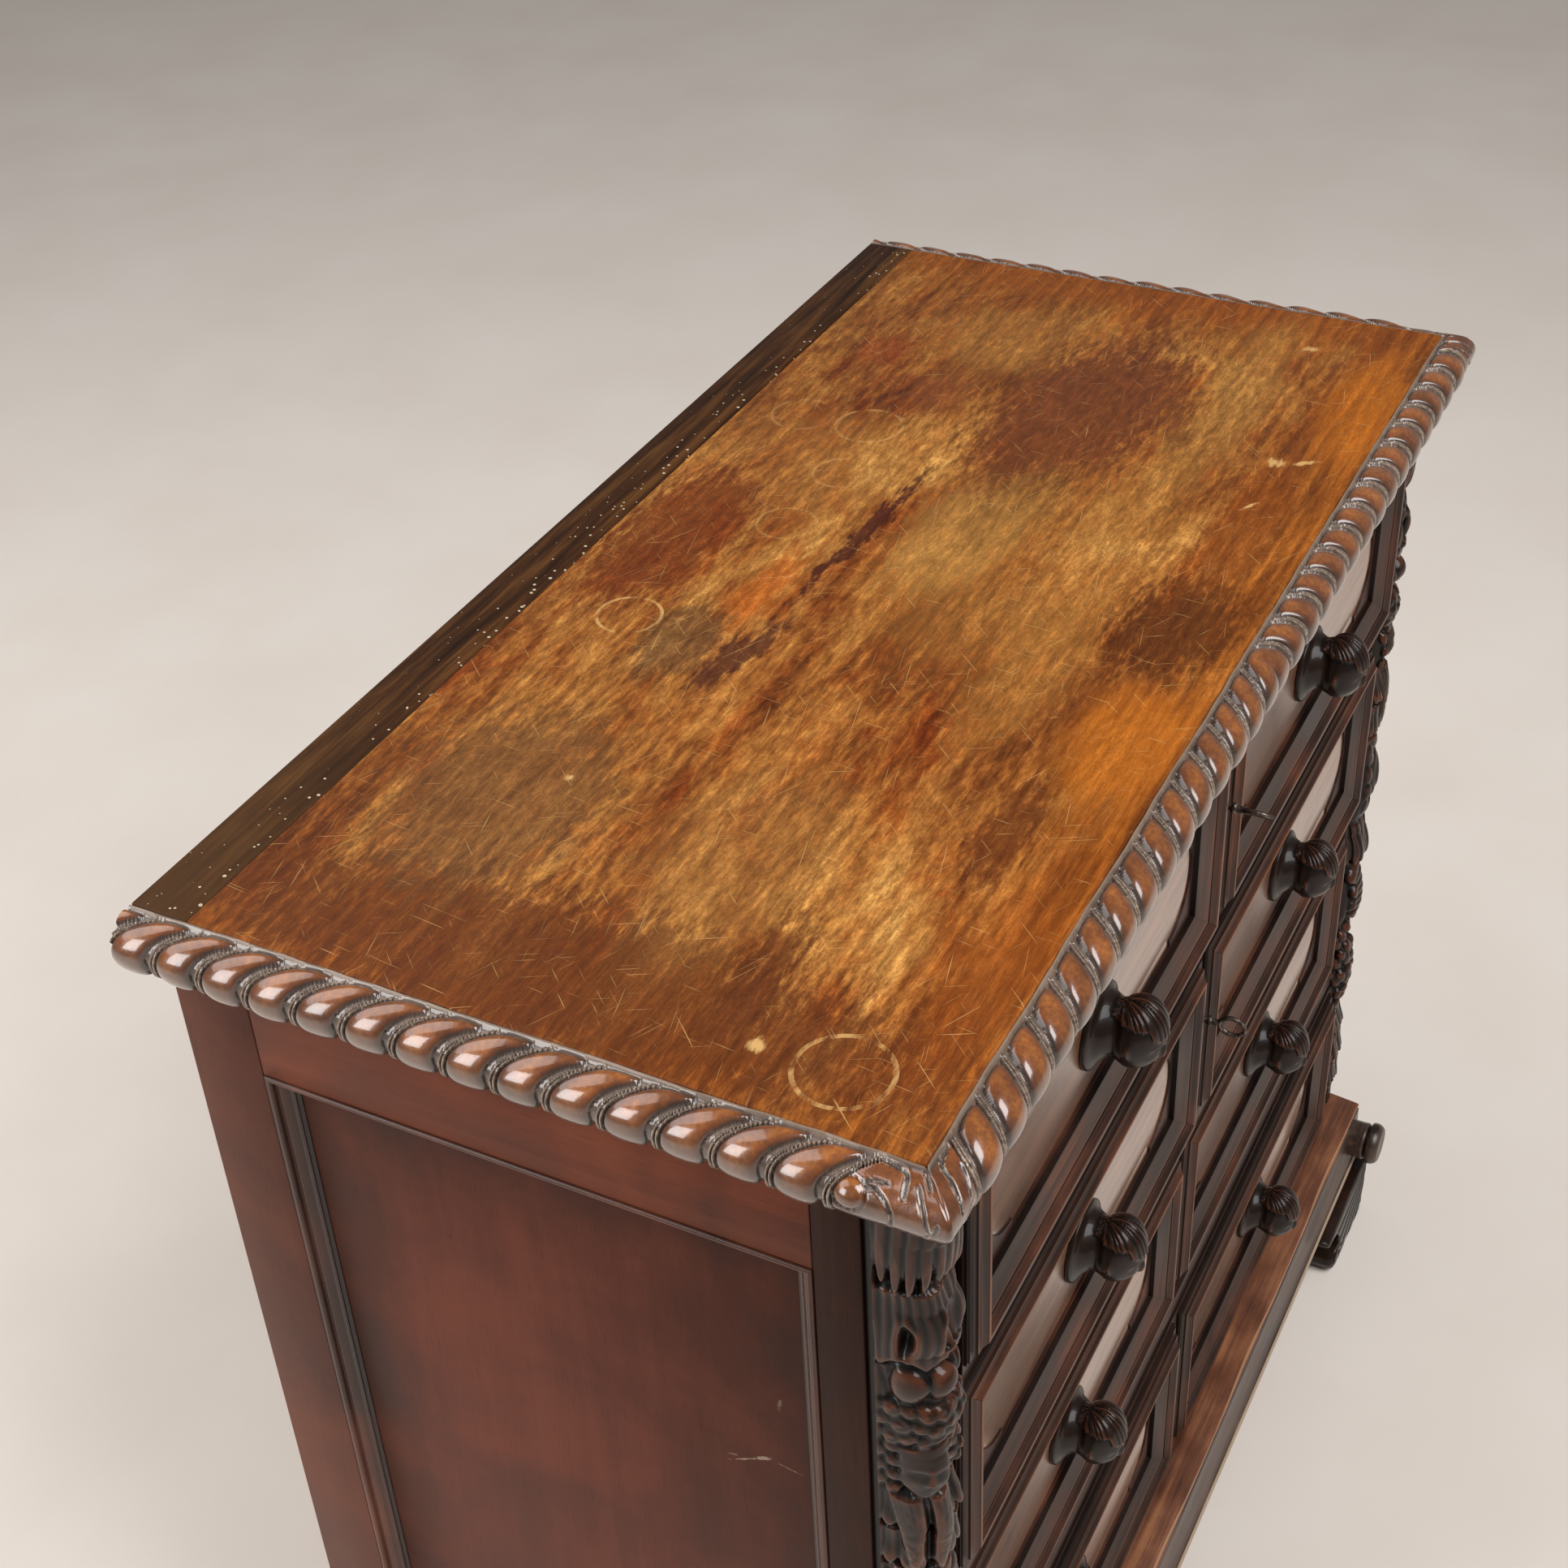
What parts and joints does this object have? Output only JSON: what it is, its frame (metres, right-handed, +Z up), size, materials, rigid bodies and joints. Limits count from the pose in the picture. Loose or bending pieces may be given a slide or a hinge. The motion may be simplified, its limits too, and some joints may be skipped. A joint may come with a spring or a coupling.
{
  "type": "chest of drawers",
  "caption": "Free-standing walnut chest with full-width framed drawers, a gadrooned top edge, carved corner pilasters, head-shaped knobs and keys that turn in their locks.",
  "frame": {"origin": "on the floor, under the middle of the overall box", "axes": "+X to the right of someone who faces the drawers, +Y towards the wall, +Z up; drawers open towards -Y"},
  "size_m": [1.2306, 0.65, 1.12],
  "materials": {
    "worn_walnut": "worn wax",
    "aged_walnut": "satin wax",
    "dark_walnut": "waxed and polished",
    "carved_walnut": "polished carving",
    "moulded_walnut": "polished carving, worn",
    "poplar_lining": "bare wood",
    "wrought_iron": "bright worn iron"
  },
  "bodies": {
    "carcase": {"top_board": "worn_walnut", "top_back_strip": "aged_walnut", "top_moulding_front": "moulded_walnut", "top_moulding_left": "moulded_walnut", "top_moulding_right": "moulded_walnut", "left_rear_post": "aged_walnut", "left_front_post": "aged_walnut", "left_top_rail": "aged_walnut", "left_bottom_rail": "aged_walnut", "left_panel": "aged_walnut", "left_panel_moulding": "aged_walnut", "right_rear_post": "aged_walnut", "right_front_post": "aged_walnut", "right_top_rail": "aged_walnut", "right_bottom_rail": "aged_walnut", "right_panel": "aged_walnut", "right_panel_moulding": "aged_walnut", "back_panel": "poplar_lining", "bottom_board": "poplar_lining", "dust_board_1": "dark_walnut", "dust_board_2": "dark_walnut", "dust_board_3": "dark_walnut", "front_top_rail": "dark_walnut", "pilaster_left": "carved_walnut", "pilaster_right": "carved_walnut", "plinth": "dark_walnut", "foot_front_left": "carved_walnut", "foot_front_right": "carved_walnut"},
    "drawer_1": {"drawer_1_front": "dark_walnut", "drawer_1_left_side": "poplar_lining", "drawer_1_right_side": "poplar_lining", "drawer_1_back": "poplar_lining", "drawer_1_bottom": "poplar_lining", "knob_1_left": "carved_walnut", "knob_1_right": "carved_walnut", "lock_1": "wrought_iron"},
    "drawer_2": {"drawer_2_front": "dark_walnut", "drawer_2_left_side": "poplar_lining", "drawer_2_right_side": "poplar_lining", "drawer_2_back": "poplar_lining", "drawer_2_bottom": "poplar_lining", "knob_2_left": "carved_walnut", "knob_2_right": "carved_walnut", "lock_2": "wrought_iron"},
    "drawer_3": {"drawer_3_front": "dark_walnut", "drawer_3_left_side": "poplar_lining", "drawer_3_right_side": "poplar_lining", "drawer_3_back": "poplar_lining", "drawer_3_bottom": "poplar_lining", "knob_3_left": "carved_walnut", "knob_3_right": "carved_walnut"},
    "drawer_4": {"drawer_4_front": "dark_walnut", "drawer_4_left_side": "poplar_lining", "drawer_4_right_side": "poplar_lining", "drawer_4_back": "poplar_lining", "drawer_4_bottom": "poplar_lining", "knob_4_left": "carved_walnut", "knob_4_right": "carved_walnut"},
    "key_1": {"key_1": "wrought_iron"},
    "key_2": {"key_2": "wrought_iron"}
  },
  "joints": [
    {"name": "drawer_1_slide", "type": "slide", "parent": "carcase", "child": "drawer_1", "axis": [0, -1, 0], "range_m": [0, 0.4]},
    {"name": "drawer_2_slide", "type": "slide", "parent": "carcase", "child": "drawer_2", "axis": [0, -1, 0], "range_m": [0, 0.4]},
    {"name": "drawer_3_slide", "type": "slide", "parent": "carcase", "child": "drawer_3", "axis": [0, -1, 0], "range_m": [0, 0.4]},
    {"name": "drawer_4_slide", "type": "slide", "parent": "carcase", "child": "drawer_4", "axis": [0, -1, 0], "range_m": [0, 0.4]},
    {"name": "key_1_turn", "type": "hinge", "parent": "drawer_1", "child": "key_1", "pos_m": [0, -0.253, 0.9738], "axis": [0, 1, 0], "range_deg": [-130, 50]},
    {"name": "key_2_turn", "type": "hinge", "parent": "drawer_2", "child": "key_2", "pos_m": [0, -0.248, 0.746], "axis": [0, 1, 0], "range_deg": [-180, 0]}
  ]
}
